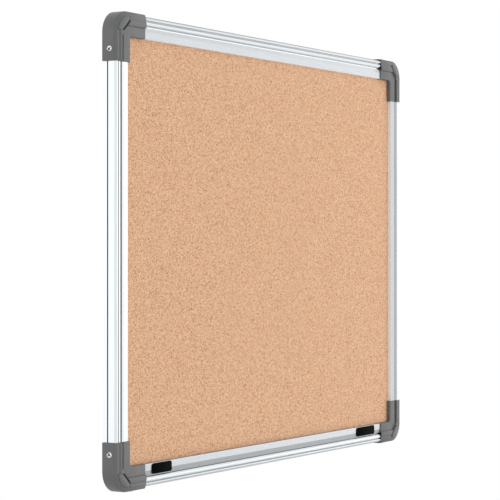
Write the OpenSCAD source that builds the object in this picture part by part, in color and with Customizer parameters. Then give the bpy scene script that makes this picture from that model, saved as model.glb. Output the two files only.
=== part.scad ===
// Cork bulletin board for a wall: a cork panel in an aluminium rail frame with moulded corners.
// Board in the XZ plane, front towards -Y. The origin is the centre of the four wall holes, on the
// back plane. Millimetres.

/* [Board] */
// Width of the frame, over the rails
board_w = 600; // [450:1:900]
// Height of the frame, over the rails
board_h = 450; // [300:1:900]

/* [Rail] */
// Depth of a rail, from the back to the crest of its beads
rail_d = 14.4; // [14:0.1:20]
// Width of a rail's face, from the outer edge to the edge beside the cork
rail_face = 21.6; // [20:0.1:30]
// Width of the outer bead, up to the groove between the beads
outer_bead_w = 4.0; // [3.5:0.1:5]
// Width of both beads together, up to the step down to the lip
bead_band_w = 10.1; // [9.5:0.1:12]
// Depth of the groove between the beads and the lip
band_groove_d = 2.0; // [1.6:0.1:2.2]
// Depth of the step from the beads' crest down to the lip's front
lip_step = 0.9; // [0.9:0.1:1.2]
// How far the lip rises from the groove to the break in its face
lip_rise = 0.3; // [0.1:0.1:0.5]
// Height from the cork to the lip's front face
lip_above_cork = 4.1; // [3.6:0.1:6]
// Radius of the rounded outer edge
rail_edge_r = 2.6; // [1.5:0.1:3]
// Wall thickness of the extrusion
rail_wall = 1.1; // [0.8:0.1:1.3]
// Width of the flange behind the panel, from the outer edge
back_flange_w = 17; // [14:0.5:20]
// Width and depth of the fine grooves in the beads and the side face
groove_w = 0.9; // [0.5:0.1:1.2]
// Distance of the side groove from the back
side_groove_at = 4.7; // [3:0.1:6]
// Number of fine ribs across the lip
rib_count = 13; // [6:1:16]
// Height of the fine ribs
rib_h = 0.15; // [0.05:0.01:0.25]

/* [Corner moulding] */
// Length of the arm over the top or bottom rail
arm_w = 52; // [46:0.5:70]
// Length of the arm over the left or right rail
arm_h = 48; // [44:0.5:70]
// How far the moulding stands out past the rails' outer edges
corner_proud = 1.8; // [1.5:0.1:3]
// How far the moulding's crest stands in front of the rails' crest
corner_front = 1.3; // [1.2:0.1:3]
// Radius of the corner, seen from the front
corner_r = 21; // [20:0.5:21.5]
// Width of the raised band, from the outer edge
band_w = 12.6; // [12.2:0.1:14]
// Depth of the step from the band down to the corner's lip
band_step = 1.6; // [1.4:0.05:1.6]
// Radius of the band's inner edge
band_edge_r = 1.4; // [0.4:0.1:1.6]
// Width over which the outer edge is rounded
shoulder_w = 6; // [4:0.1:6.5]
// Depth over which the outer edge is rounded
shoulder_d = 3.2; // [1.5:0.1:3.5]
// Extra width of the lip beside the cork, on the arms over the side rails
side_lip_extra = 3.2; // [1:0.1:6]
// Extra width of the lip beside the cork, on the arms over the top and bottom rails
cross_lip_extra = 1.0; // [0.9:0.1:4]
// Reach of the web inside the raised band's corner
web_reach = 10; // [8:0.5:11]
// Radius of the web's hollow edge
web_r = 30; // [12:1:60]
// Radius of the lip's inner corner
lip_corner_r = 2.5; // [1:0.1:5]
// Distance from the rails' outer edges to the rails' sawn ends
rail_end_at = 24; // [22:0.5:28]
// Length of the tongue that plugs into each rail
tongue_l = 19; // [14:0.5:24]
// Clearance between the moulding and the rails
sleeve_fit = 0.1; // [0.05:0.01:0.2]

/* [Corner cover] */
// Thickness of the cover
cover_t = 1.8; // [1.4:0.1:2.2]
// Width of the fine seam around the cover
cover_seam = 0.2; // [0.15:0.05:0.3]
// Width of the pry slot along the cover's diagonal edge
pry_slot_w = 1.7; // [0.6:0.1:1.8]
// Distance from the outer edges to the cover's long edges
cover_inset = 4.6; // [4.5:0.1:5]
// Reach of the cover along the top or bottom arm, from the outer edge
cover_w = 23; // [21:0.5:26]
// Reach of the cover along the side arm, from the outer edge
cover_h = 18.5; // [17:0.5:21]
// Length of the cover's edge across the side arm
cover_top = 7.4; // [5:0.1:8]
// Length of the short edge where the diagonal meets the top or bottom arm
cover_leg = 4.2; // [3:0.1:6]
// Clearance under the cover
cover_fit = 0.1; // [0.05:0.05:0.3]
// Length of the snap legs under the cover
snap_l = 5; // [3:0.1:7]
// Width of the snap legs; they are half as thick
snap_w = 2.6; // [2:0.1:2.8]
// Distance of the snap legs from the cover's long edges
snap_inset = 1.4; // [1.3:0.1:1.6]
// Distance of the snap legs from the cover's two ends
snap_from_end = 1; // [0.8:0.1:2]
// Distance from the cover to the start of the fine groove in the arms
groove_start = 3; // [2:0.5:6]

/* [Wall hole] */
// Diameter of the wall-fixing hole
wall_hole_d = 4.5; // [3.5:0.1:5]
// Diameter of the pocket for the wall screw's head
head_pocket_d = 7.6; // [7:0.1:8]
// Thickness of the floor that the wall screw's head pulls on
floor_t = 4; // [3:0.1:6]
// Distance of the hole from the side rail's outer edge
hole_in_x = 11.2; // [11:0.1:11.4]
// Distance of the hole from the top or bottom rail's outer edge
hole_in_z = 10.1; // [9.9:0.1:10.3]

/* [Corner screws] */
// Diameter of the screw's head
screw_head_d = 5.6; // [5:0.1:6.5]
// Height of the screw's head
screw_head_h = 1.7; // [1.2:0.1:2.5]
// Diameter of the screw's shank
screw_d = 2.9; // [2.2:0.1:3.5]
// Length of the cross recess in the head
recess_l = 3.4; // [2:0.1:4]
// Width of the recess's slots
recess_w = 0.8; // [0.5:0.1:1.2]
// Depth of the recess
recess_d = 1; // [0.5:0.1:1.1]
// Length of the screw's shank
screw_l = 9.5; // [6.5:0.5:9.5]
// Clearance around the shank in the rail's wall
screw_fit = 0.15; // [0.1:0.05:0.3]
// Clearance around the shank in the moulding
pilot_fit = 0.02; // [0.01:0.01:0.1]
// Distance of the screws from the rails' outer edges, along the rail
screw_along = 34.8; // [30:0.1:38]
// Height of the screws above the back plane
screw_from_back = 8; // [6.5:0.1:9]

/* [Panel] */
// Thickness of the cork sheet
cork_t = 2.4; // [1.5:0.1:4]
// Thickness of the back sheet
back_sheet_t = 0.5; // [0.3:0.1:1]
// Size of the cut across each corner of the panel
panel_chamfer = 9; // [8:0.5:10]
// Clearance between the panel's edge and the rail
panel_fit = 0.4; // [0.2:0.1:0.8]

/* [Plates] */
// Length of the plate at the left end
left_plate_l = 35; // [20:1:50]
// Length of the plate at the right end
right_plate_l = 45; // [20:1:60]
// Distance from the left rail's outer edge to the left plate
left_plate_at = 62; // [55:1:100]
// Distance from the right rail's outer edge to the right plate
right_plate_at = 66; // [55:1:100]
// Thickness of the plates
plate_t = 0.5; // [0.3:0.1:1]
// Radius of the plates' corners
plate_r = 1.8; // [0.5:0.1:3]
// Bare lip left above and below a plate
plate_margin = 0.5; // [0.2:0.1:1]

/* [Hidden] */
$fn = 48;
// Overrun of cuts past the faces that they open
e = 1;

aluminium = [0.86, 0.87, 0.88];
corner_grey = [0.44, 0.45, 0.45];
cover_grey = [0.48, 0.49, 0.49];
plate_black = [0.05, 0.05, 0.05];
zinc = [0.85, 0.85, 0.86];
cork_tan = [0.85, 0.68, 0.52];
softboard = [0.78, 0.70, 0.56];
fibreboard = [0.62, 0.60, 0.56];

// Depths from the back plane, towards the front
lip_front = rail_d - lip_step;
cork_front = lip_front - lip_above_cork;
cork_back = cork_front - cork_t;
panel_back = rail_wall;
core_back = panel_back + back_sheet_t;
corner_crest = rail_d + corner_front;
corner_lip_front = corner_crest - band_step;
cover_back = corner_crest - cover_t;

// Rail section, from the rail's outer edge inwards
groove_d = groove_w / 2;
// the inner bead's crest, from where it falls away to the groove beside the lip
bead_crest_at = (outer_bead_w + bead_band_w) / 2 - groove_d;
bead_foot_at = bead_band_w - groove_d;
chamber_to = bead_foot_at - rail_wall;
lip_from = bead_band_w + groove_w;
lip_break_at = (bead_band_w + rail_face) / 2;
rib_pitch = (rail_face - lip_from) / rib_count;
panel_edge_at = bead_band_w + panel_fit;

// Corner moulding, from its own outer edges
side_lip_w = corner_proud + rail_face + side_lip_extra;
cross_lip_w = corner_proud + rail_face + cross_lip_extra;
core_l = corner_proud + rail_end_at;
screw_at = corner_proud + screw_along;
hole_x = corner_proud + hole_in_x;
hole_z = corner_proud + hole_in_z;
band_groove_at = corner_proud + outer_bead_w;
lip_groove_at = band_w + groove_w;
web_to = band_w + web_reach;
// centre of the web's hollow edge, on the corner's diagonal
web_centre = band_w + web_reach / 2 + sqrt((web_r * web_r - web_reach * web_reach / 2) / 2);
// where the moulding's inner block starts, well inside its rounded edge
block_from = corner_r - (corner_r - shoulder_w) * 0.7;
// far enough in to cut past every lip
past_lip = rail_face + side_lip_extra + cross_lip_extra;

// ---- frames of reference ----

// Places a part drawn for the bottom-left corner at any corner. The part is drawn with x and y
// running inwards from the moulding's outer edges, and z from the back plane to the front.
module at_corner(right, top) {
    mirror([right ? 1 : 0, 0, 0]) mirror([0, 0, top ? 1 : 0])
        translate([-board_w / 2 - corner_proud, 0, -board_h / 2 - corner_proud])
            rotate([90, 0, 0]) children();
}

// Extrudes a [distance from the top edge, depth] section along X, centred, at a height
module along_x(length, height) {
    translate([0, 0, height]) rotate([180, 90, 0]) linear_extrude(length, center = true) children();
}

// ---- rails ----

// Front of the lip at distance u from the outer edge: rising to its break, then level
function lip_at(u) = lip_front - lip_rise * max(0, lip_break_at - u) / (lip_break_at - lip_from);

// One fine rib of the lip, drawn from the cork outwards: a sloping side, a top that follows the lip
// and the other side, in [share of the pitch, share of the rib's height]
function rib_points(i) = [
    for (p = [[0, 0], [0.25, 1], [0.6, 1], [0.85, 0]])
        let(u = rail_face - (i + p[0]) * rib_pitch) [u, lip_at(u) - rib_h * (1 - p[1])]
];

// Rounded outer edge of a rail that is grown by a clearance
function edge_points(grow) = [
    for (a = [90 : 15 : 180])
        [rail_edge_r - grow + rail_edge_r * cos(a), rail_d + grow - rail_edge_r + rail_edge_r * sin(a)]
];

// Inner side of the inner bead: from its crest, over a quarter ellipse, down into the groove
bead_points = [
    for (a = [90 : -15 : 0])
        [bead_crest_at + (bead_foot_at - bead_crest_at) * sin(a), rail_d - band_groove_d * (1 - cos(a))]
];

// Cross-section of a rail in [distance from its outer edge, depth]
module rail_section() {
    difference() {
        polygon(concat(
            [[0, 0], [back_flange_w, 0], [back_flange_w, rail_wall], [bead_band_w, rail_wall],
             [bead_band_w, cork_front], [rail_face, cork_front]],
            [for (i = [0 : rib_count - 1]) each rib_points(i)],
            [[lip_from, lip_at(lip_from) - rib_h], [lip_from, rail_d - band_groove_d]],
            bead_points,
            [[outer_bead_w + groove_d, rail_d], [outer_bead_w, rail_d - groove_d],
             [outer_bead_w - groove_d, rail_d]],
            edge_points(0),
            [[0, side_groove_at + groove_d], [groove_d, side_groove_at], [0, side_groove_at - groove_d]]
        ));
        // side chamber, which takes the tongues of the corner mouldings
        translate([rail_wall, rail_wall]) square([chamber_to - rail_wall, rail_d - 2 * rail_wall]);
        // hollow of the lip
        translate([lip_from, cork_front + rail_wall]) square([
            rail_face - lip_from - rail_wall, lip_above_cork - lip_rise - rib_h - 2 * rail_wall
        ]);
    }
}

// A rail along X whose outer edge is at a height; the crossing rails' outer edges are at +-half_span
module rail(half_span, height) {
    difference() {
        along_x(2 * (half_span - rail_end_at), height) rail_section();
        for (side = [-1, 1])
            translate([side * (half_span - screw_along), -screw_from_back, height - 2 * rail_wall])
                cylinder(d = screw_d + 2 * screw_fit, h = 2 * rail_wall + e);
    }
}

module rail_top() { color(aluminium) rail(board_w / 2, board_h / 2); }
module rail_bottom() { mirror([0, 0, 1]) rail_top(); }
module rail_right() { color(aluminium) rotate([0, 90, 0]) rail(board_h / 2, board_w / 2); }
module rail_left() { mirror([1, 0, 0]) rail_right(); }

// ---- corner mouldings ----

// Space that a rail takes inside a moulding, in [distance from the moulding's edge, depth]
module sleeve_space() {
    translate([corner_proud, 0]) polygon(concat(
        [[-sleeve_fit, -e], [past_lip, -e], [past_lip, cork_front], [rail_face + sleeve_fit, cork_front],
         [rail_face + sleeve_fit, lip_front + sleeve_fit], [bead_foot_at + sleeve_fit, lip_front + sleeve_fit],
         [bead_foot_at + sleeve_fit, rail_d + sleeve_fit]],
        edge_points(sleeve_fit)
    ));
}

// Full-depth section of the outer band, in [distance from the moulding's edge, depth]
module band_section() {
    polygon(concat(
        [[0, 0]],
        [for (a = [0 : 10 : 90])
            [shoulder_w * (1 - cos(a)), corner_crest - shoulder_d * (1 - sin(a))]],
        [for (a = [0 : 22.5 : 90])
            [band_w - band_edge_r * (1 - sin(a)), corner_crest - band_edge_r * (1 - cos(a))]],
        [[band_w, 0]]
    ));
}

// Runs a section along the side arm, between two distances from the moulding's outer edge
module along_side(from, to) {
    translate([0, to, 0]) rotate([90, 0, 0]) linear_extrude(to - from) children();
}

// The same along the arm over the top or bottom rail
module along_cross(from, to) {
    translate([from, 0, 0]) rotate([90, 0, 90]) linear_extrude(to - from) children();
}

// The lip: an L under the raised band, with a rounded inner corner
module corner_lip() {
    linear_extrude(corner_lip_front) difference() {
        union() {
            translate([block_from, block_from]) square([arm_w - block_from, cross_lip_w - block_from]);
            translate([block_from, block_from]) square([side_lip_w - block_from, arm_h - block_from]);
            translate([side_lip_w - e, cross_lip_w - e]) square(lip_corner_r + e);
        }
        translate([side_lip_w + lip_corner_r, cross_lip_w + lip_corner_r]) circle(r = lip_corner_r);
    }
}

// The raised band: along both arms, round the corner, with a curved web inside the corner
module corner_band() {
    along_side(corner_r, arm_h) band_section();
    along_cross(corner_r, arm_w) band_section();
    translate([corner_r, corner_r, 0]) rotate([0, 0, 180]) rotate_extrude(angle = 90)
        translate([corner_r, 0]) mirror([1, 0]) band_section();
    linear_extrude(corner_crest) difference() {
        translate([block_from, block_from]) square(web_to - block_from);
        translate([web_centre, web_centre]) circle(r = web_r, $fn = 144);
    }
}

// Fine groove of the arms: a V with a given depth, cut from the front
module arm_groove(at, front, depth) {
    polygon([[at - groove_w, front + depth], [at, front - depth], [at + groove_w, front + depth]]);
}

// Slot for the panel's corner, which is cut off at the same angle
module panel_slot(from) {
    edge = corner_proud + bead_band_w;
    far = edge + panel_chamfer;
    translate([0, 0, from]) linear_extrude(cork_front - from) polygon([
        [far, edge], [arm_w + e, edge], [arm_w + e, arm_h + e], [edge, arm_h + e], [edge, far]
    ]);
}

// Outline of the cover, grown by seam at its outer edges and by slot along its diagonal side
module cover_outline(seam, slot) {
    lower = [cover_w, cover_inset + cover_leg];
    upper = [cover_inset + cover_top, cover_h];
    run = upper - lower;
    normal = [run[1], -run[0]] / norm(run);
    arc_r = corner_r - cover_inset + seam;
    // the diagonal, moved out by the slot and carried on to the two sides beside it
    start = lower + slot * normal;
    slope = run[1] / run[0];
    right = cover_w + slot;
    top = cover_h + seam;
    low = cover_inset - seam;
    intersection() {
        polygon([
            [right, low], [right, start[1] + slope * (right - start[0])],
            [start[0] + (top - start[1]) / slope, top], [low, top], [low, low]
        ]);
        union() {
            translate([corner_r, corner_r]) circle(r = arc_r, $fn = 96);
            translate([corner_r, low]) square(arc_r);
        }
    }
}

// Footprints of the cover's two snap legs
module snap_legs(grow) {
    near = cover_inset + snap_inset - grow;
    long = snap_w + 2 * grow;
    short = snap_w / 2 + 2 * grow;
    translate([cover_w - snap_from_end - snap_w - grow, near]) square([long, short]);
    translate([near, cover_h - snap_from_end - snap_w - grow]) square([short, long]);
}

// Tongue in a rail's side chamber, in [distance from the moulding's edge, depth]
module tongue_section() {
    translate([corner_proud + rail_wall + sleeve_fit, rail_wall + sleeve_fit])
        square([chamber_to - rail_wall - 2 * sleeve_fit, rail_d - 2 * rail_wall - 2 * sleeve_fit]);
}

// Drills a hole for a rail screw through the moulding's wall and into the tongue
module screw_hole() {
    translate([0, 0, -e]) cylinder(d = screw_d + 2 * pilot_fit, h = screw_l + 2 * e);
}

module corner_moulding() {
    difference() {
        union() {
            difference() {
                union() {
                    corner_lip();
                    corner_band();
                }
                along_side(core_l - sleeve_fit, arm_h + e) sleeve_space();
                along_cross(core_l - sleeve_fit, arm_w + e) sleeve_space();
                panel_slot(panel_back);
                // fine grooves: along both arms' bands, and along the side arm's lip
                along_side(cover_h + groove_start, arm_h + e)
                    arm_groove(band_groove_at, corner_crest, groove_d);
                along_cross(cover_w + groove_start, arm_w + e)
                    arm_groove(band_groove_at, corner_crest, groove_d);
                along_side(web_to, arm_h + e)
                    arm_groove(lip_groove_at, corner_lip_front, groove_d / 2);
            }
            along_side(core_l - e, core_l + tongue_l) tongue_section();
            along_cross(core_l - e, core_l + tongue_l) tongue_section();
        }
        // seat of the cover, with the pry slot beside its diagonal
        translate([0, 0, cover_back - cover_fit])
            linear_extrude(cover_t + e) cover_outline(cover_seam, pry_slot_w);
        translate([0, 0, cover_back - snap_l - cover_fit])
            linear_extrude(snap_l + e) snap_legs(cover_seam);
        // wall hole and the pocket for the wall screw's head
        translate([hole_x, hole_z, -e]) cylinder(d = wall_hole_d, h = corner_crest);
        translate([hole_x, hole_z, floor_t]) cylinder(d = head_pocket_d, h = corner_crest);
        // rail screws
        translate([0, screw_at, screw_from_back]) rotate([0, 90, 0]) screw_hole();
        translate([screw_at, 0, screw_from_back]) rotate([-90, 0, 0]) screw_hole();
    }
}

module corner_cover() {
    translate([0, 0, cover_back]) linear_extrude(cover_t) cover_outline(0, 0);
    translate([0, 0, cover_back - snap_l]) linear_extrude(snap_l + cover_t / 2) snap_legs(0);
}

module corner_top_left() { color(corner_grey) at_corner(false, true) corner_moulding(); }
module corner_top_right() { color(corner_grey) at_corner(true, true) corner_moulding(); }
module corner_bottom_left() { color(corner_grey) at_corner(false, false) corner_moulding(); }
module corner_bottom_right() { color(corner_grey) at_corner(true, false) corner_moulding(); }

module cover_top_left() { color(cover_grey) at_corner(false, true) corner_cover(); }
module cover_top_right() { color(cover_grey) at_corner(true, true) corner_cover(); }
module cover_bottom_left() { color(cover_grey) at_corner(false, false) corner_cover(); }
module cover_bottom_right() { color(cover_grey) at_corner(true, false) corner_cover(); }

// ---- rail screws ----

// Pan head screw with a cross recess, along z, its head outside the moulding
module rail_screw() {
    dome_r = (screw_head_h * screw_head_h + screw_head_d * screw_head_d / 4) / (2 * screw_head_h);
    tip_l = screw_d / 2;
    tip_d = screw_d / 5;
    difference() {
        intersection() {
            translate([0, 0, dome_r - screw_head_h]) sphere(r = dome_r);
            translate([0, 0, -screw_head_h]) cylinder(d = screw_head_d, h = screw_head_h);
        }
        for (a = [0, 90])
            rotate([0, 0, a]) translate([-recess_l / 2, -recess_w / 2, -screw_head_h - e])
                cube([recess_l, recess_w, e + recess_d]);
    }
    cylinder(d = screw_d, h = screw_l - tip_l);
    translate([0, 0, screw_l - tip_l]) cylinder(d1 = screw_d, d2 = tip_d, h = tip_l);
}

module each_corner() {
    for (right = [false, true], top = [false, true]) at_corner(right, top) children();
}

module side_rail_screws() {
    color(zinc) each_corner()
        translate([0, screw_at, screw_from_back]) rotate([0, 90, 0]) rail_screw();
}
module cross_rail_screws() {
    color(zinc) each_corner()
        translate([screw_at, 0, screw_from_back]) rotate([-90, 0, 0]) rail_screw();
}

// ---- panel ----

// One layer of the panel between two depths, with its corners cut off
module panel_layer(from, to) {
    x = board_w / 2 - panel_edge_at;
    z = board_h / 2 - panel_edge_at;
    c = panel_chamfer;
    translate([0, -from, 0]) rotate([90, 0, 0]) linear_extrude(to - from) polygon([
        [-x, c - z], [c - x, -z], [x - c, -z], [x, c - z], [x, z - c], [x - c, z], [c - x, z], [-x, z - c]
    ]);
}

module cork_sheet() { color(cork_tan) panel_layer(cork_back, cork_front); }
module core_board() { color(softboard) panel_layer(core_back, cork_back); }
module back_sheet() { color(fibreboard) panel_layer(panel_back, core_back); }

// ---- plates ----

// A thin blank plate that follows the bottom rail's lip, centred at x
module plate(length, x) {
    low = lip_from + plate_margin;
    high = rail_face - plate_margin;
    intersection() {
        mirror([0, 0, 1]) translate([x, 0, 0]) along_x(length, board_h / 2) polygon([
            [low, lip_at(low)], [lip_break_at, lip_front], [high, lip_front],
            [high, lip_front + plate_t], [lip_break_at, lip_front + plate_t],
            [low, lip_at(low) + plate_t]
        ]);
        translate([x, 0, low - board_h / 2]) rotate([90, 0, 0]) linear_extrude(corner_crest)
            rounded_rectangle(length, high - low, plate_r);
    }
}

// Rectangle centred in x, standing on the x axis, with round corners
module rounded_rectangle(w, h, r) {
    translate([-w / 2 + r, 0]) square([w - 2 * r, h]);
    translate([-w / 2, r]) square([w, h - 2 * r]);
    for (side = [-1, 1], y = [r, h - r]) translate([side * (w / 2 - r), y]) circle(r = r);
}

module left_plate() {
    color(plate_black) plate(left_plate_l, left_plate_at + left_plate_l / 2 - board_w / 2);
}
module right_plate() {
    color(plate_black) plate(right_plate_l, board_w / 2 - right_plate_at - right_plate_l / 2);
}

rail_top();
rail_bottom();
rail_left();
rail_right();
corner_top_left();
corner_top_right();
corner_bottom_left();
corner_bottom_right();
cover_top_left();
cover_top_right();
cover_bottom_left();
cover_bottom_right();
side_rail_screws();
cross_rail_screws();
cork_sheet();
core_board();
back_sheet();
left_plate();
right_plate();
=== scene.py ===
import math

import bpy
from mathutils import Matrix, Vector


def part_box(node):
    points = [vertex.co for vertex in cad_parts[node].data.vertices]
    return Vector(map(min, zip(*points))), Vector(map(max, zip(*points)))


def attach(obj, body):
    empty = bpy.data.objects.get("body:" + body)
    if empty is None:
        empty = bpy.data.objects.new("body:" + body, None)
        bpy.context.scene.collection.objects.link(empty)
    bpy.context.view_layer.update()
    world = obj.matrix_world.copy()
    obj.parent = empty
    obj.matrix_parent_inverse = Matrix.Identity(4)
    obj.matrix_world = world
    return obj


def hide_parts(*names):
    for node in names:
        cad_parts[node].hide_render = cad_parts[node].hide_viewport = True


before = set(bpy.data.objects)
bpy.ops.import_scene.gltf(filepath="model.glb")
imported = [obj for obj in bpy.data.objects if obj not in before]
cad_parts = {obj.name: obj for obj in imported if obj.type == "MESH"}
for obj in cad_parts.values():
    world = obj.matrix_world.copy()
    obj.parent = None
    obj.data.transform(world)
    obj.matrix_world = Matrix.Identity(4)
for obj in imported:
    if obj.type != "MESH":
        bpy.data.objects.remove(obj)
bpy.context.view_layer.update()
corners = ["top_left", "top_right", "bottom_left", "bottom_right"]
mm = 0.001


# ---- drawing helpers ----

# Leaves only this piece selected and active, in object mode
def takeUp(piece):
    if bpy.context.object and bpy.context.object.mode != "OBJECT":
        bpy.ops.object.mode_set(mode="OBJECT")
    bpy.ops.object.select_all(action="DESELECT")
    piece.select_set(True)
    bpy.context.view_layer.objects.active = piece


# Opens a piece in edit mode with everything or nothing selected
def openUp(piece, selected="SELECT"):
    takeUp(piece)
    bpy.ops.object.mode_set(mode="EDIT")
    bpy.ops.mesh.select_mode(type="VERT")
    bpy.ops.mesh.select_all(action=selected)


# Draws a line: a small plane brought down to its centre, then pulled from point to point
def drawLine(name, points):
    bpy.ops.object.select_all(action="DESELECT")
    bpy.ops.mesh.primitive_plane_add(size=mm, location=points[0])
    piece = bpy.context.object
    piece.name = name
    bpy.ops.object.transform_apply(location=True, rotation=True, scale=True)
    openUp(piece)
    bpy.ops.mesh.merge(type="CENTER")
    for before, after in zip(points, points[1:]):
        bpy.ops.mesh.extrude_region_move(TRANSFORM_OT_translate={"value": after - before})
    bpy.ops.mesh.select_all(action="SELECT")
    return piece


# Draws a closed outline as one face
def drawFace(name, points):
    piece = drawLine(name, points)
    bpy.ops.mesh.edge_face_add()
    return piece


# Pulls what is selected along a vector
def pull(vector):
    bpy.ops.mesh.extrude_region_move(TRANSFORM_OT_translate={"value": vector})


# Closes the drawing: points nearer than this many millimetres merged, faces turned outwards
def closeUp(piece, near=0.002):
    openUp(piece)
    bpy.ops.mesh.remove_doubles(threshold=near * mm)
    bpy.ops.mesh.normals_make_consistent(inside=False)
    bpy.ops.object.mode_set(mode="OBJECT")
    return piece


# A drawn outline pulled to a solid block
def drawBlock(name, points, vector):
    piece = drawFace(name, points)
    pull(vector)
    return closeUp(piece)


# Cuts a tool out of a piece, or joins it on, and puts the tool away
def combine(piece, tool, how="DIFFERENCE"):
    change = piece.modifiers.new(how.lower(), "BOOLEAN")
    change.operation = how
    change.object = tool
    change.solver = "EXACT"
    if tool.data.materials:
        change.material_mode = "TRANSFER"
    takeUp(piece)
    bpy.ops.object.modifier_apply(modifier=change.name)
    bpy.data.objects.remove(tool)
    return piece


# Rounds every edge sharper than an angle
def soften(piece, width, steps=2, angle=35):
    edge = piece.modifiers.new("soften", "BEVEL")
    edge.width = width
    edge.segments = steps
    edge.limit_method = "ANGLE"
    edge.angle_limit = math.radians(angle)
    edge.use_clamp_overlap = False
    takeUp(piece)
    bpy.ops.object.modifier_apply(modifier=edge.name)
    return piece


# A copy with its own mesh, turned over left to right or top to bottom about the middle of the board
def mirrored(piece, name, leftRight=False, upDown=False):
    takeUp(piece)
    bpy.ops.object.duplicate()
    twin = bpy.context.object
    twin.name = name
    openUp(twin)
    bpy.ops.transform.mirror(constraint_axis=(leftRight, False, upDown), center_override=(0, 0, 0))
    if leftRight != upDown:
        bpy.ops.mesh.flip_normals()
    bpy.ops.object.mode_set(mode="OBJECT")
    return twin


# Smooths a piece, gives it a material if it has none, and hangs it on its body in place of the solids it
# stands for
def settle(piece, body, slot, material, *nodes, smooth=30):
    takeUp(piece)
    bpy.ops.object.shade_smooth_by_angle(angle=math.radians(smooth))
    if not piece.data.materials:
        piece.data.materials.append(material)
    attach(piece, body)
    if nodes:
        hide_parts(*nodes)


# Points of an arc, round or squashed, from one angle to another, in degrees
def arc(centre, radius, start, end, steps, height=None):
    angles = [math.radians(start + (end - start) * i / steps) for i in range(steps + 1)]
    return [(centre[0] + radius * math.cos(a), centre[1] + (height or radius) * math.sin(a)) for a in angles]


# ---- materials ----

# A new material: returns it with its nodes, its shader and a way to join sockets
def newMaterial(name, roughness, metallic=0.0):
    material = bpy.data.materials.new(name)
    material.use_nodes = True
    nodes = material.node_tree.nodes
    shader = nodes["Principled BSDF"]
    shader.inputs["Roughness"].default_value = roughness
    shader.inputs["Metallic"].default_value = metallic
    return material, nodes, shader, material.node_tree.links.new


# Noise on the piece's own coordinates, stretched by a scale for each axis
def noise(nodes, join, scale, size, detail=3.0, roughness=0.55):
    place = nodes.new("ShaderNodeTexCoord")
    stretch = nodes.new("ShaderNodeMapping")
    stretch.inputs["Scale"].default_value = scale
    texture = nodes.new("ShaderNodeTexNoise")
    texture.inputs["Scale"].default_value = size
    texture.inputs["Detail"].default_value = detail
    texture.inputs["Roughness"].default_value = roughness
    join(place.outputs["Object"], stretch.inputs["Vector"])
    join(stretch.outputs["Vector"], texture.inputs["Vector"])
    return texture.outputs["Fac"]


# Maps a grey value onto colours, or onto numbers written as greys
def ramp(nodes, join, value, *stops):
    scale = nodes.new("ShaderNodeValToRGB")
    scale.color_ramp.elements[0].position = stops[0][0]
    scale.color_ramp.elements[1].position = stops[-1][0]
    for place, _ in stops[1:-1]:
        scale.color_ramp.elements.new(place)
    for element, (_, colour) in zip(scale.color_ramp.elements, stops):
        element.color = (*colour, 1) if isinstance(colour, tuple) else (colour, colour, colour, 1)
    join(value, scale.inputs["Fac"])
    return scale.outputs["Color"]


# Fine relief from a grey value
def relief(nodes, join, shader, height, strength, distance):
    bump = nodes.new("ShaderNodeBump")
    bump.inputs["Strength"].default_value = strength
    bump.inputs["Distance"].default_value = distance
    join(height, bump.inputs["Height"])
    join(bump.outputs["Normal"], shader.inputs["Normal"])


# Painted light and shade: how bright the same anodised metal looks on each rail, by the part of its section,
# set as its tone, lighter or darker by how light falls there; outerGroove is the floor of the valley between
# the beads, with the groove in the outer side, and innerGroove its inner side
railParts = ["face", "outerGroove", "innerGroove", "flank", "lipGroove", "edge", "lip", "lipFoot",
             "lipStart", "rim"]
railPaintedTones = {
    "bottom": (0.66, 0.25, 1.0, 0.51, 0.3, 0.2, 0.56, 0.37, 0.37, 0.75),
    "top": (0.56, 0.38, 0.7, 0.52, 0.72, 0.9, 0.58, 0.56, 0.56, 0.04),
    "left": (0.84, 0.02, 0.5, 0.84, 0.01, 0.95, 0.86, 0.8, 0.02, 0.85),
    "right": (0.86, 0.84, 0.84, 0.02, 0.5, 1.0, 0.58, 0.56, 0.4, 0.88),
}
metal = {
    "tint": (0.96, 1, 1.025),    # cool, as anodised metal is
    "dull": 0.9,                 # tone of the die lines, as a share
    "lines": 900,                # die lines per metre
}


# Anodised extrusion: faint die lines along the rail, in tone and in gloss
def anodised(name, dieLines, tone, metallic=1.0):
    material, nodes, shader, join = newMaterial(name, 0.3, metallic)
    lines = noise(nodes, join, dieLines, metal["lines"], 2.0)
    bright, dull = [tuple(c * level for c in metal["tint"]) for level in (tone, tone * metal["dull"])]
    join(ramp(nodes, join, lines, (0.3, dull), (0.7, bright)), shader.inputs["Base Color"])
    join(ramp(nodes, join, lines, (0.25, 0.24), (0.75, 0.36)), shader.inputs["Roughness"])
    relief(nodes, join, shader, lines, 0.12, 0.02 * mm)
    return material


# Moulded plastic: an even grey with a fine satin grain
def plasticFinish(name, tone):
    material, nodes, shader, join = newMaterial(name, 0.42)
    grain = noise(nodes, join, (1, 1, 1), 2600, 2.0)
    cloud = noise(nodes, join, (1, 1, 1), 60, 3.0)
    dark, light = tuple(c * 0.93 for c in tone), tuple(c * 1.07 for c in tone)
    join(ramp(nodes, join, cloud, (0.3, dark), (0.7, light)), shader.inputs["Base Color"])
    join(ramp(nodes, join, grain, (0.3, 0.36), (0.7, 0.5)), shader.inputs["Roughness"])
    relief(nodes, join, shader, grain, 0.25, 0.03 * mm)
    return material


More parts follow.
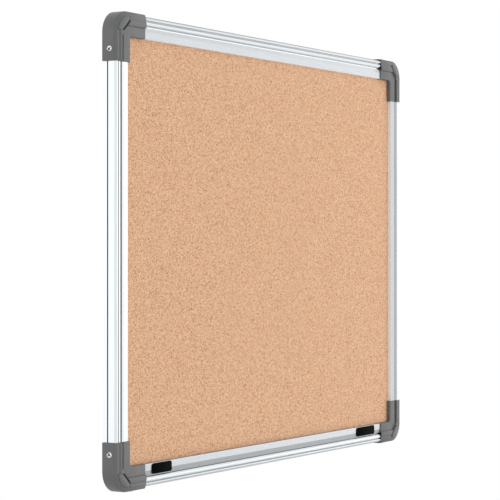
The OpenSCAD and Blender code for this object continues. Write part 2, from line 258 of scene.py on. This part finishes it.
# Bright zinc plating, with the faint blotches of the bath
def zincFinish(name, level):
    material, nodes, shader, join = newMaterial(name, 0.22, 1.0)
    cloud = noise(nodes, join, (1, 1, 1), 900, 3.0)
    tones = (0.88, 0.89, 0.9), (0.97, 0.97, 0.96)
    dark, light = [tuple(c * level for c in tone) for tone in tones]
    join(ramp(nodes, join, cloud, (0.3, dark), (0.7, light)), shader.inputs["Base Color"])
    join(ramp(nodes, join, cloud, (0.3, 0.16), (0.7, 0.3)), shader.inputs["Roughness"])
    relief(nodes, join, shader, cloud, 0.15, 0.02 * mm)
    return material


# Pressed cork: fine granules of several browns, sparse bark specks, pits in the surface
def corkFinish():
    material, nodes, shader, join = newMaterial("pressedCork", 0.85)
    place = nodes.new("ShaderNodeTexCoord")

    def cells(perMetre, stretch=(1, 1, 1)):
        shape = nodes.new("ShaderNodeMapping")
        shape.inputs["Scale"].default_value = stretch
        texture = nodes.new("ShaderNodeTexVoronoi")
        texture.inputs["Scale"].default_value = perMetre
        join(place.outputs["Object"], shape.inputs["Vector"])
        join(shape.outputs["Vector"], texture.inputs["Vector"])
        split = nodes.new("ShaderNodeSeparateColor")
        join(texture.outputs["Color"], split.inputs["Color"])
        return texture.outputs["Distance"], split.outputs["Red"]

    def blend(factor, under, over, how="MIX"):
        mix = nodes.new("ShaderNodeMix")
        mix.data_type = "RGBA"
        mix.blend_type = how
        join(factor, mix.inputs["Factor"])
        join(under, mix.inputs["A"])
        if isinstance(over, tuple):
            mix.inputs["B"].default_value = (*over, 1)
        else:
            join(over, mix.inputs["B"])
        return mix.outputs["Result"]

    depth, grain = cells(cork["granules"])
    tones = ramp(nodes, join, grain, (0.0, cork["dark"]), (0.15, cork["brown"]), (0.55, cork["tan"]),
                 (1.0, cork["light"]))
    fine = noise(nodes, join, (1, 1, 1), cork["grit"], 4.0, 0.7)
    tones = blend(ramp(nodes, join, fine, (0.36, 0.45), (0.5, 0.0)), tones, cork["brown"])
    # sparse specks of bark, each in the middle of one cell in many
    middle, chosen = cells(cork["specks"], (1, 1, 1.5))
    speck = nodes.new("ShaderNodeMath")
    speck.operation = "MULTIPLY"
    join(ramp(nodes, join, middle, (0.16, 1.0), (0.34, 0.0)), speck.inputs[0])
    join(ramp(nodes, join, chosen, (0.9, 0.0), (0.94, 0.85)), speck.inputs[1])
    join(blend(speck.outputs["Value"], tones, cork["bark"]), shader.inputs["Base Color"])
    join(ramp(nodes, join, fine, (0.3, 0.92), (0.7, 0.75)), shader.inputs["Roughness"])
    rough = nodes.new("ShaderNodeMath")
    join(depth, rough.inputs[0])
    join(fine, rough.inputs[1])
    relief(nodes, join, shader, rough.outputs["Value"], 0.35, 0.2 * mm)
    return material


# Soft fibreboard, with its fibres showing
def fibreFinish(name, light, dark, fibres):
    material, nodes, shader, join = newMaterial(name, 0.9)
    strands = noise(nodes, join, fibres, 900, 5.0, 0.7)
    join(ramp(nodes, join, strands, (0.3, dark), (0.7, light)), shader.inputs["Base Color"])
    relief(nodes, join, shader, strands, 0.4, 0.1 * mm)
    return material


# Deep black plate, faintly uneven
def plateFinish():
    material, nodes, shader, join = newMaterial("blankBlack", 0.5)
    shader.inputs["Specular IOR Level"].default_value = 0.01
    cloud = noise(nodes, join, (1, 1, 1), 400, 2.0)
    dark, light = (0.002, 0.0022, 0.0024), (0.0035, 0.0038, 0.004)
    join(ramp(nodes, join, cloud, (0.3, dark), (0.7, light)), shader.inputs["Base Color"])
    join(ramp(nodes, join, cloud, (0.3, 0.4), (0.7, 0.6)), shader.inputs["Roughness"])
    relief(nodes, join, shader, cloud, 0.05, 0.02 * mm)
    return material


cork = {
    "granules": 1350,        # per metre, as are the grit and the cells for the specks
    "grit": 3400,
    "specks": 300,
    "light": (1.0, 0.7, 0.46),
    "tan": (0.96, 0.575, 0.345),
    "brown": (0.66, 0.33, 0.17),
    "dark": (0.37, 0.16, 0.075),
    "bark": (0.22, 0.1, 0.05),
}
plastic = {
    "corner": (0.125, 0.127, 0.127),
    "cover": (0.13, 0.132, 0.132),
    "shade": (0.05, 0.05, 0.05),     # painted shade: dark grey for the shadow in the lip's groove and on the arms' ends
}
cornerPlastic = plasticFinish("cornerPlastic", plastic["corner"])
coverPlastic = plasticFinish("coverPlastic", plastic["cover"])
paintedShadePlastic = plasticFinish("paintedShade", plastic["shade"])


# ---- rails ----

rail = {
    "wall": 1.1,             # thickness of the back flange
    "backFlange": 17,        # reach of the flange behind the panel
    "edgeRadius": 2.6,       # of the outer edge
    "rim": 0.7,              # the outermost part of that edge
    # valley between the beads, from its inner to its outer side: from the outer edge, and depth
    "valley": [(5.7, 0), (5.5, 0.05), (4.5, 1.2), (3.7, 1.2), (3.25, 0.05), (3.1, 0)],
    "panelSide": 10.1,       # to the side that holds the panel
    "beadTop": 6.4,          # where the inner bead starts to fall
    "flank": (7.4, 8.8),     # the steep part of that fall
    "beadFoot": 9.6,         # to the groove beside the lip
    "lipFrom": 10.8,         # past that groove
    "lipGroove": 2.3,        # the groove's depth
    "lipStep": 0.9,          # from the beads down to the lip
    "lipStart": 0.8,         # width of the lip's outermost rib
    "lipFoot": 4.3,          # width of the lip's outer part
    "lipRise": 0.3,          # how much that part falls towards the groove
    "lipEdge": 0.4,          # radius of its inner edge
    "ribs": 13,
    "ribHeight": 0.12,
    "sideGroove": 5.0,       # groove in the outer side: height above the back, width and depth
    "sideGrooveSize": 1.2,
    "chamfer": 0.15,         # broken edges
}
railLow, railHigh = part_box("rail_left")
railFace = (railHigh.x - railLow.x) / mm
railDepth = -railLow.y / mm
lipDepth = railDepth - rail["lipStep"]
lipFrom = rail["lipFrom"]
lipBreak = lipFrom + rail["lipFoot"]
corkFront = -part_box("cork_sheet")[0].y / mm


# Front of the lip at a distance from the outer edge
def lipAt(u):
    return lipDepth - rail["lipRise"] * max(0, lipBreak - u) / (lipBreak - lipFrom)


# Cross-section of a rail as (distance from its outer edge, height above the back), in millimetres
def railSection():
    c, side, flange, wall = rail["chamfer"], rail["panelSide"], rail["backFlange"], rail["wall"]
    points = [(0, 0), (flange, 0), (flange, wall), (side, wall), (side, corkFront), (railFace, corkFront)]
    # round inner edge of the lip, then its fine ribs
    r = rail["lipEdge"]
    lipTop = lipDepth - rail["ribHeight"]
    points += arc((railFace - r, lipTop - r), r, 0, 90, 4)
    pitch = (railFace - r - lipFrom) / rail["ribs"]
    for i in range(rail["ribs"]):
        u = railFace - r - i * pitch
        for share, rise in ((0.1, 0), (0.3, 1), (0.65, 1), (0.85, 0)):
            points.append((u - share * pitch, lipAt(u) - rail["ribHeight"] * (1 - rise)))
    # the groove beside the lip, up round the inner bead, over the valley, and round the outer bead
    foot, top, depth = rail["beadFoot"], rail["beadTop"], rail["lipGroove"]
    points += [(lipFrom, lipAt(lipFrom) - rail["ribHeight"]), (lipFrom, railDepth - depth)]
    points += arc((top, railDepth - depth), foot - top, 0, 90, 8, depth)
    points += [(u, railDepth - down) for u, down in rail["valley"]]
    r = rail["edgeRadius"]
    points += arc((r, railDepth - r), r, 90, 180, 10)
    # the groove in the outer side
    half = rail["sideGrooveSize"] / 2
    above, below = rail["sideGroove"] + half, rail["sideGroove"] - half
    return points + [(0, above + c), (c, above), (2 * half, above),
                     (2 * half, below), (c, below), (0, below - c)]


# Tells which part of the section a face belongs to, by its middle, for that part's painted light and shade
def railPart(u, d):
    size, slack = rail["sideGrooveSize"], 0.02
    valleyFrom, floorFrom = rail["valley"][0][0], rail["valley"][2]
    floorTo = rail["valley"][3][0]
    if railDepth - floorFrom[1] - slack < d < railDepth - slack and floorTo < u < valleyFrom:
        return "outerGroove" if u < floorFrom[0] else "innerGroove"
    if slack < u < size + slack and abs(d - rail["sideGroove"]) < size / 2 + slack:
        return "outerGroove"
    near, far = rail["flank"]
    if near < u < far and d > lipDepth - rail["lipGroove"]:
        return "flank"
    if far < u < lipFrom + slack and railDepth - rail["lipGroove"] - slack < d < lipAt(lipFrom):
        return "lipGroove"
    if u > lipFrom and d > corkFront + 5 * slack:
        if u < lipBreak:
            return "lipFoot" if u > lipFrom + rail["lipStart"] else "lipStart"
        return "edge" if u > railFace - 5 * slack else "lip"
    return "rim" if u < rail["rim"] and d > railDepth - rail["edgeRadius"] else "face"


# Draws one rail at its place; upright rails are drawn across x and pulled along z
def railPiece(name, node, upright):
    low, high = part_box(node)
    if upright:
        points = [Vector((low.x + u * mm, -d * mm, low.z)) for u, d in railSection()]
        piece = drawBlock(name, points, Vector((0, 0, high.z - low.z)))
    else:
        points = [Vector((low.x, -d * mm, low.z + u * mm)) for u, d in railSection()]
        piece = drawBlock(name, points, Vector((high.x - low.x, 0, 0)))
    for _ in railParts:
        piece.data.materials.append(None)
    for face in piece.data.polygons:
        u = (face.center.x - low.x if upright else face.center.z - low.z) / mm
        face.material_index = railParts.index(railPart(u, -face.center.y / mm))
    return piece


railBottom = railPiece("railBottom", "rail_bottom", False)
railLeft = railPiece("railLeft", "rail_left", True)
for piece, way in ((mirrored(railBottom, "railTop", upDown=True), "top"), (railBottom, "bottom"),
                   (mirrored(railLeft, "railRight", leftRight=True), "right"), (railLeft, "left")):
    dieLines = (1, 1, 0.02) if way in ("left", "right") else (0.02, 1, 1)
    # each rail takes its own copies of the finish, with painted light and shade for each part
    for place, (part, tone) in enumerate(zip(railParts, railPaintedTones[way])):
        # the lip's inner wall is matt, so its tone shows plainly as painted light or painted shade on it
        metallic = 0.0 if part == "edge" else 1.0
        piece.data.materials[place] = anodised(part + way.title(), dieLines, tone, metallic)
    settle(piece, "frame", "aluminium", None, "rail_" + way)
print("rails drawn")


# ---- corner mouldings ----

moulding = {
    "crossArm": 52,          # length over the top or bottom rail
    "sideArm": 48,           # length over the left or right rail
    "radius": 21,            # corner, seen from the front
    "band": 12.6,            # width of the raised band
    "bandStep": 1.6,         # from the band down to the lip
    "bandEdge": 1.4,         # radius of its inner edge
    "shoulder": (2.4, 4.0, 1.9),    # round outer edge: width and depth, and depth where its slope starts
    # upper end of that slope, a shallow valley and back to the crest: from the outer edge, and depth
    "valley": [(4.7, 0.6), (5.2, 0.65), (6.5, 0.82), (6.9, 0.85), (7.9, 0.32), (8.4, 0.12), (9.4, 0)],
    "slimmer": 0.9,          # the band is this much narrower on the side arm
    "wider": 1.0,            # and this much wider on the cross arm
    "sideLip": 26.6,         # reach of the lip on the side arm
    "crossLip": 23.7,
    "lipEdge": 1.2,          # radius of the lip's inner edge
    "web": 9,                # reach of the web inside the band's corner
    "webRadius": 30,         # its hollow edge
    "lipCorner": 2.5,        # radius of the lip's inner corner
    "lipUnder": 3,           # how far the lip and the web run into the band
    "webUnder": 2,
    "proud": 1.8,            # past the rails' outer edges
    "sleeveFrom": 25.8,      # where the arms turn hollow for the rails
    "sleeveFit": 0.1,        # gap round the rails
    "panelBack": 1.1,        # to the room for the panel, from the back
    "panelChamfer": 9,       # that room's cut corner
    "softEdge": 0.22,        # moulded edges are this round
    "lipGroove": (12.4, 14.9, 0.35),    # on the side arm only: from, to, depth
    "lipGrooveStart": 22.6,  # up the arm
    "holePlace": (13, 11.9), # wall hole, from the moulding's outer edges
    "hole": 4.5,             # across
    "pocket": 7.6,           # room for the wall screw's head, across
    "floor": 4,              # under that head
    "merge": 0.06,           # points that the cuts leave closer than this are made one
}
# the covers' values stand here because their seats in the mouldings need them too
cover = {
    "thickness": 1.8,
    "seam": 0.12,            # gap along the outer edges
    "seatGap": 0.1,          # under the cover
    "slot": 1.7,             # pry slot beside the diagonal
    "inset": 4.6,            # from the outer edges to the long edges
    "reach": 23,             # along the top or bottom arm
    "height": 18.5,          # along the side arm
    "top": 7.4,              # edge across the side arm
    "leg": 4.2,              # short edge below the diagonal
    "clip": (2.6, 1.3, 5),   # clip legs: width, thickness, length
    "clipInset": 1.4,        # from the long edges
    "clipFromEnd": 1,
    "softEdge": 0.35,        # the other edges are this round
    "slopeEdge": 1.3,        # the diagonal's front edge is this round
}
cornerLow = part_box("corner_bottom_left")[0]
crest = -cornerLow.y / mm
lipFront = crest - moulding["bandStep"]
overrun = 1.0


# Place in the bottom left moulding: across and up from its outer edges, and out from the back
def cornerPoint(across, up, out):
    return Vector((cornerLow.x + across * mm, -out * mm, cornerLow.z + up * mm))


# A block seen from the front, from one depth to another
def frontBlock(name, outline, start, end):
    points = [cornerPoint(across, up, start) for across, up in outline]
    return drawBlock(name, points, Vector((0, (start - end) * mm, 0)))


# A block with a section as (distance from the outer edge, depth), along the side or the cross arm
def sideBlock(name, section, start, end):
    points = [cornerPoint(across, start, out) for across, out in section]
    return drawBlock(name, points, Vector((0, 0, (end - start) * mm)))


def crossBlock(name, section, start, end):
    points = [cornerPoint(start, up, out) for up, out in section]
    return drawBlock(name, points, Vector(((end - start) * mm, 0, 0)))


# A round peg to cut holes with, from one point to another
def peg(name, start, end, diameter):
    bpy.ops.object.select_all(action="DESELECT")
    bpy.ops.mesh.primitive_cylinder_add(vertices=48, radius=diameter / 2 * mm, depth=(end - start).length,
                                        location=(start + end) / 2,
                                        rotation=(end - start).to_track_quat("Z", "Y").to_euler())
    bpy.ops.object.transform_apply(location=True, rotation=True, scale=True)
    bpy.context.object.name = name
    return bpy.context.object


# Moves the inner edge of one arm's band
def moveEdge(piece, chosen, vector):
    openUp(piece, "DESELECT")
    bpy.ops.object.mode_set(mode="OBJECT")
    for vertex in piece.data.vertices:
        across, up = (vertex.co.x - cornerLow.x) / mm, (vertex.co.z - cornerLow.z) / mm
        vertex.select = chosen(across, up)
    bpy.ops.object.mode_set(mode="EDIT")
    bpy.ops.transform.translate(value=vector)
    bpy.ops.object.mode_set(mode="OBJECT")


# Opens a piece with only those edges selected whose two ends pass a test together
def chooseEdges(piece, test):
    openUp(piece, "DESELECT")
    bpy.ops.mesh.select_mode(type="EDGE")
    bpy.ops.object.mode_set(mode="OBJECT")
    for edge in piece.data.edges:
        edge.select = test(*[piece.data.vertices[i].co for i in edge.vertices])
    bpy.ops.object.mode_set(mode="EDIT")


# The raised band with its shoulder and valley, up the side arm, round the corner and along the cross arm
def cornerBand():
    w, d, slope = moulding["shoulder"]
    e, band, r = moulding["bandEdge"], moulding["band"], moulding["radius"]
    start = math.degrees(math.asin(1 - slope / d))
    section = [(0, 0)] + arc((w, crest - d), w, 180, 180 - start, 9, d)
    section += [(u, crest - down) for u, down in moulding["valley"]]
    section += arc((band - e, crest - e), e, 90, 0, 4) + [(band, 0)]
    piece = drawFace("cornerBand", [cornerPoint(u, moulding["sideArm"], out) for u, out in section])
    pull(Vector((0, 0, (r - moulding["sideArm"]) * mm)))
    bpy.ops.mesh.spin(steps=18, angle=math.radians(90), center=cornerPoint(r, r, 0), axis=(0, 1, 0))
    pull(Vector(((moulding["crossArm"] - r) * mm, 0, 0)))
    closeUp(piece)
    slack = 0.01
    inner = moulding["valley"][-1][0] + slack
    moveEdge(piece, lambda across, up: up > r - slack and inner < across < r - slack,
             Vector((-moulding["slimmer"] * mm, 0, 0)))
    moveEdge(piece, lambda across, up: across > r - slack and inner < up < r - slack,
             Vector((0, 0, moulding["wider"] * mm)))
    return soften(piece, moulding["softEdge"] * mm)


# The lip below the band: an L with a rounded inner corner and a round inner edge
def cornerLip():
    side, cross, r = moulding["sideLip"], moulding["crossLip"], moulding["lipCorner"]
    start = moulding["band"] - moulding["lipUnder"]
    outline = [(start, start), (moulding["crossArm"], start), (moulding["crossArm"], cross)]
    outline += arc((side + r, cross + r), r, 270, 180, 6)
    outline += [(side, moulding["sideArm"]), (start, moulding["sideArm"])]
    piece = frontBlock("cornerLip", outline, 0, lipFront)
    slack = 0.01 * mm
    corner = cornerPoint(side, cross, lipFront)
    chooseEdges(piece, lambda *ends: all(
        end.x > corner.x - slack and end.z > corner.z - slack and end.y < corner.y + slack for end in ends))
    bpy.ops.mesh.bevel(offset=moulding["lipEdge"] * mm, segments=4)
    bpy.ops.object.mode_set(mode="OBJECT")
    return soften(piece, moulding["softEdge"] * mm)


# The web that fills the inside of the band's corner, with its hollow curve
def cornerWeb():
    start = moulding["band"] - moulding["webUnder"]
    reach, r = moulding["web"], moulding["webRadius"]
    across, up = moulding["band"] - moulding["slimmer"], moulding["band"] + moulding["wider"]
    off = reach / 2 + math.sqrt((r * r - reach * reach / 2) / 2)
    spread = math.degrees(math.asin(reach / math.sqrt(2) / r))
    outline = [(start, start), (across + reach, start)]
    outline += arc((across + off, up + off), r, 225 + spread, 225 - spread, 10) + [(start, up + reach)]
    return soften(frontBlock("cornerWeb", outline, 0, crest), moulding["softEdge"] * mm)


# Room for a rail under a moulding, as (distance from the moulding's outer edge, depth)
def sleeveSection():
    proud, fit, r = moulding["proud"], moulding["sleeveFit"], rail["edgeRadius"]
    railFront, face = railDepth + fit, proud + railFace
    foot = proud + rail["beadFoot"] + fit
    far = face + 10          # well past the lip
    section = [(proud - fit, -overrun), (far, -overrun), (far, corkFront), (face + fit, corkFront),
               (face + fit, lipDepth + fit), (foot, lipDepth + fit), (foot, railFront)]
    return section + arc((proud - fit + r, railFront - r), r, 90, 180, 4)


# Outline of a cover, grown at its outer edges and beside its diagonal
def coverOutline(seam, slot):
    inset, reach = cover["inset"], cover["reach"]
    lower = Vector((reach, inset + cover["leg"]))
    run = Vector((inset + cover["top"], cover["height"])) - lower
    start = lower + slot * Vector((run.y, -run.x)).normalized()
    slope = run.y / run.x
    right, top, r = reach + slot, cover["height"] + seam, moulding["radius"]
    outline = [(right, inset - seam), (right, start.y + slope * (right - start.x)),
               (start.x + (top - start.y) / slope, top)]
    bend = r - inset + seam
    meets = 180 + math.degrees(math.asin((r - top) / bend))
    return outline + arc((r, r), bend, meets, 270, 16)


# Footprints of a cover's two clip legs
def clipOutlines(grow):
    wide, thick, _ = cover["clip"]
    near = cover["inset"] + cover["clipInset"] - grow
    wide, thick = wide + 2 * grow, thick + 2 * grow
    starts = (cover["reach"] - cover["clipFromEnd"] - cover["clip"][0] - grow, near), \
             (near, cover["height"] - cover["clipFromEnd"] - cover["clip"][0] - grow)
    sizes = (wide, thick), (thick, wide)
    return [[(x, y), (x + w, y), (x + w, y + h), (x, y + h)] for (x, y), (w, h) in zip(starts, sizes)]


# Everything that is cut out of a moulding: hollow arms, panel slot, grooves, cover seat, holes
def cutCorner(piece):
    side, cross = moulding["sideArm"] + overrun, moulding["crossArm"] + overrun
    start = moulding["sleeveFrom"] - moulding["sleeveFit"]
    combine(piece, sideBlock("sleeve", sleeveSection(), start, side))
    combine(piece, crossBlock("sleeve", sleeveSection(), start, cross))
    edge = moulding["proud"] + rail["panelSide"]
    far = edge + moulding["panelChamfer"]
    panelRoom = [(far, edge), (cross, edge), (cross, side), (edge, side), (edge, far)]
    combine(piece, frontBlock("panelRoom", panelRoom, moulding["panelBack"], corkFront))
    near, far, depth = moulding["lipGroove"]
    above, below = lipFront + depth, lipFront - depth
    lipGroove = [(near, above), (near, below), (far, below), (far, above)]
    tool = sideBlock("lipGroove", lipGroove, moulding["lipGrooveStart"], side)
    # the groove's faces take the painted shade, a dark grey for the shadow in the groove
    tool.data.materials.append(paintedShadePlastic)
    combine(piece, tool)
    seat = crest - cover["thickness"] - cover["seatGap"]
    combine(piece, frontBlock("seat", coverOutline(cover["seam"], cover["slot"]), seat, crest + overrun))
    for outline in clipOutlines(cover["seam"]):
        combine(piece, frontBlock("clipSocket", outline, seat - cover["clip"][2], seat + overrun))
    across, up = moulding["holePlace"]
    combine(piece, peg("wallHole", cornerPoint(across, up, -overrun),
                       cornerPoint(across, up, crest + 2 * overrun), moulding["hole"]))
    combine(piece, peg("headPocket", cornerPoint(across, up, moulding["floor"]),
                       cornerPoint(across, up, crest + overrun), moulding["pocket"]))
    closeUp(piece, moulding["merge"])
    # the arms' ends get painted shade: a dark grey that stands for the shadow on them
    slack = 0.05
    last = cornerPoint(moulding["crossArm"] - slack, moulding["sideArm"] - slack, 0)
    for face in piece.data.polygons:
        if face.center.x > last.x or face.center.z > last.z:
            face.material_index = piece.data.materials.find(paintedShadePlastic.name)
    return piece


# One moulding is made, then turned over to the other three corners
def atEachCorner(piece, name, finish):
    for corner in corners[:2] + corners[3:]:
        twin = mirrored(piece, name + "_" + corner, "right" in corner, "top" in corner)
        finish(twin, corner)
    piece.name = name + "_bottom_left"
    finish(piece, "bottom_left")


cornerPiece = combine(combine(cornerBand(), cornerLip(), "UNION"), cornerWeb(), "UNION")
cornerPiece.data.materials.append(cornerPlastic)
cutCorner(cornerPiece)
atEachCorner(cornerPiece, "moulding", lambda piece, corner: settle(
    piece, "frame", "corner_plastic", cornerPlastic, "corner_" + corner))
print("corner mouldings drawn")


# ---- covers ----

# The clip-on cover over the wall hole: a plate with soft edges and two clip legs
def coverPiece():
    back = crest - cover["thickness"]
    outline = coverOutline(0, 0)
    piece = frontBlock("cover", outline, back, crest)
    slope = [cornerPoint(*outline[i], crest) for i in (1, 2)]
    chooseEdges(piece, lambda *ends: all(
        min((end - stop).length for end in ends) < 0.05 * mm for stop in slope))
    bpy.ops.mesh.bevel(offset=cover["slopeEdge"] * mm, segments=4)
    bpy.ops.object.mode_set(mode="OBJECT")
    soften(piece, cover["softEdge"] * mm)
    for outline in clipOutlines(0):
        combine(piece, frontBlock("clip", outline, back - cover["clip"][2], back + cover["thickness"] / 2),
                "UNION")
    return closeUp(piece)


atEachCorner(coverPiece(), "clipCover", lambda piece, corner: settle(
    piece, "cover_" + corner + "_body", "corner_plastic", coverPlastic, "cover_" + corner))
print("covers drawn")


# ---- rail screws ----

screw = {
    "head": 5.6,
    "headHeight": 1.65,
    "shank": 2.9,            # across
    "length": 9.5,           # under the head
    "tip": 1.45,             # length of the point
    "cross": 4.0,            # cross recess: length, width, depth
    "crossWidth": 1.0,
    "crossDepth": 1.0,
    "crossTurn": 45,
    "crossShift": 0.6,       # off the head's middle, towards the front and the board's middle
    "along": 36.6,           # from the moulding's outer edge
    "out": 8,                # from the back
    "plating": 1.0,          # brightness of the zinc, and the painted shade of the zinc inside the recess
    "recess": 0.08,
}


# A pan head screw: half its outline spun round its axis, then the cross recess cut
def railScrew(name, seat, inward, sideways):
    height, half = screw["headHeight"], screw["head"] / 2
    dome = (height ** 2 + half ** 2) / (2 * height)
    swing = math.degrees(math.asin(half / dome))
    profile = [(dome - height - x, y) for x, y in arc((0, 0), dome, 0, swing, 8)]
    profile += [(0, screw["shank"] / 2), (screw["length"] - screw["tip"], screw["shank"] / 2),
                (screw["length"], screw["shank"] / 10), (screw["length"], 0)]
    piece = drawLine(name, [seat + inward * a * mm + sideways * r * mm for a, r in profile])
    piece.data.materials.append(zinc)
    bpy.ops.mesh.spin(steps=32, angle=math.radians(360), center=seat, axis=inward)
    closeUp(piece)
    long, wide = screw["cross"] / 2, screw["crossWidth"] / 2
    plus = [(long, -wide), (long, wide), (wide, wide), (wide, long), (-wide, long), (-wide, wide),
            (-long, wide), (-long, -wide), (-wide, -wide), (-wide, -long), (wide, -long), (wide, -wide)]
    turn = math.radians(screw["crossTurn"])
    upward = inward.cross(sideways)
    start = seat + ((sideways + upward) * screw["crossShift"] - inward * (height + overrun)) * mm
    points = [start + mm * (sideways * (a * math.cos(turn) - b * math.sin(turn))
                            + upward * (a * math.sin(turn) + b * math.cos(turn))) for a, b in plus]
    cross = drawBlock("cross", points, inward * (overrun + screw["crossDepth"]) * mm)
    # the recess walls take the painted shade, a dark zinc for the shadow in the cross
    cross.data.materials.append(recessShadeZinc)
    return combine(piece, cross)


zinc = zincFinish("zincPlating", screw["plating"])
# painted shade: zinc darkened to stand for the shadow inside the cross recess
recessShadeZinc = zincFinish("zincRecessShade", screw["recess"])
atEachCorner(railScrew("screw", cornerPoint(0, screw["along"], screw["out"]), Vector((1, 0, 0)),
                       Vector((0, 0, 1))), "sideScrew",
             lambda piece, corner: settle(piece, "frame", "screw_steel", zinc, "side_rail_screws"))
atEachCorner(railScrew("screw", cornerPoint(screw["along"], 0, screw["out"]), Vector((0, 0, 1)),
                       Vector((1, 0, 0))), "crossScrew",
             lambda piece, corner: settle(piece, "frame", "screw_steel", zinc, "cross_rail_screws"))
print("screws drawn")


# ---- blank plates on the bottom rail ----

plate = {
    "thickness": 0.5,
    "corner": 2.8,           # radius
    "from": 10.9,            # from the rail's outer edge
    "margin": 0.4,           # bare lip beside the cork
    "softEdge": 0.12,
}


# A thin plate with round corners, bent over the break in the lip
def blankPlate(name, node):
    low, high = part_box(node)
    left, right, r = low.x, high.x, plate["corner"] * mm
    bottom = cornerLow.z + (moulding["proud"] + plate["from"]) * mm
    top = cornerLow.z + (moulding["proud"] + railFace - plate["margin"]) * mm
    outline = arc((right - r, bottom + r), r, -90, 0, 6) + arc((right - r, top - r), r, 0, 90, 6)
    outline += arc((left + r, top - r), r, 90, 180, 6) + arc((left + r, bottom + r), r, 180, 270, 6)
    piece = drawBlock(name, [Vector((x, -lipDepth * mm, z)) for x, z in outline],
                      Vector((0, -plate["thickness"] * mm, 0)))
    fold = Vector((0, -lipDepth * mm, cornerLow.z + (moulding["proud"] + lipBreak) * mm))
    openUp(piece)
    bpy.ops.mesh.bisect(plane_co=fold, plane_no=(0, 0, 1))
    bpy.ops.object.mode_set(mode="OBJECT")
    for vertex in piece.data.vertices:
        vertex.select = vertex.co.z < fold.z - 0.01 * mm
    lean = math.atan(rail["lipRise"] / (lipBreak - lipFrom))
    bpy.ops.object.mode_set(mode="EDIT")
    bpy.ops.transform.rotate(value=lean, orient_axis="X", center_override=fold)
    bpy.ops.object.mode_set(mode="OBJECT")
    soften(piece, plate["softEdge"] * mm, 2)
    settle(closeUp(piece), "frame", "plate_black", blankBlack, node)


blankBlack = plateFinish()
blankPlate("leftPlate", "left_plate")
blankPlate("rightPlate", "right_plate")
print("plates drawn")


# ---- panel ----

panel = {
    "core": ((0.6, 0.45, 0.27), (0.42, 0.3, 0.17)),      # light and dark fibres
    "coreFibres": (1, 3, 1),                             # how they are stretched
    "back": ((0.36, 0.33, 0.28), (0.27, 0.24, 0.2)),
    "backFibres": (1, 1, 4),
}


# The panel's solids keep their shape and take a finish
def dress(node, material):
    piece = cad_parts[node]
    piece.data.materials.clear()
    piece.data.materials.append(material)


dress("cork_sheet", corkFinish())
dress("core_board", fibreFinish("softboard", *panel["core"], panel["coreFibres"]))
dress("back_sheet", fibreFinish("backSheet", *panel["back"], panel["backFibres"]))
print("panel dressed")


# ---- floor, light and camera ----

studio = {
    "floorSize": 4,
    "floorHeight": -0.62,
    "floorTones": (0.88, 0.92),
    "softLight": 0.76,       # strength of the white world as light
    "lampSize": 2.2,
    "behind": ((-1.72, 1.0, 0.2), 4.6),      # place and power of each lamp
    "front": ((1.68, -1.25, 0.15), 10.0),
    "camera": (-1.7823, -1.0355, 0.00277),
    "turn": 59.431,          # of the camera, in degrees
    "lens": 138.41,
    "shift": -0.0024,
}

bpy.ops.object.select_all(action="DESELECT")
bpy.ops.mesh.primitive_plane_add(size=studio["floorSize"], location=(0, 0, studio["floorHeight"]))
floor = bpy.context.object
floor.name = "floor"
paleFloor, floorNodes, floorShader, floorJoin = newMaterial("paleFloor", 0.8)
clouds = noise(floorNodes, floorJoin, (1, 1, 1), 6, 3.0)
dark, light = studio["floorTones"]
floorJoin(ramp(floorNodes, floorJoin, clouds, (0.3, dark), (0.7, light)), floorShader.inputs["Base Color"])
floor.data.materials.append(paleFloor)

# The world is plain white to the eye and to the metal, and a softer white as light
world = bpy.data.worlds.new("studio")
world.use_nodes = True
bpy.context.scene.world = world
studioNodes = world.node_tree.nodes
backdrop = studioNodes["Background"]
rays = studioNodes.new("ShaderNodeLightPath")
seen = studioNodes.new("ShaderNodeMath")
seen.operation = "MAXIMUM"
strength = studioNodes.new("ShaderNodeMix")
strength.inputs["A"].default_value = studio["softLight"]
strength.inputs["B"].default_value = 1.0
studioJoin = world.node_tree.links.new
studioJoin(rays.outputs["Is Camera Ray"], seen.inputs[0])
studioJoin(rays.outputs["Is Glossy Ray"], seen.inputs[1])
studioJoin(seen.outputs["Value"], strength.inputs["Factor"])
studioJoin(strength.outputs["Result"], backdrop.inputs["Strength"])
backdrop.inputs["Color"].default_value = (1, 1, 1, 1)


# A soft square lamp that looks at the middle of the board
def softLamp(name, place, power):
    lamp = bpy.data.lights.new(name, "AREA")
    lamp.shape = "SQUARE"
    lamp.size = studio["lampSize"]
    lamp.energy = power
    holder = bpy.data.objects.new(name, lamp)
    holder.location = place
    holder.rotation_euler = Vector(place).to_track_quat("Z", "Y").to_euler()
    bpy.context.scene.collection.objects.link(holder)


softLamp("lampBehind", *studio["behind"])
softLamp("lampFront", *studio["front"])

camera = bpy.data.objects.new("camera", bpy.data.cameras.new("camera"))
bpy.context.scene.collection.objects.link(camera)
bpy.context.scene.camera = camera
camera.location = studio["camera"]
camera.rotation_euler = (math.radians(90), 0, -math.radians(studio["turn"]))
camera.data.sensor_width = 36
camera.data.lens = studio["lens"]
camera.data.shift_y = studio["shift"]
camera.data.clip_start = 0.05
camera.data.clip_end = 50

bpy.context.scene.view_settings.view_transform = "Standard"
print("floor, light and camera set")
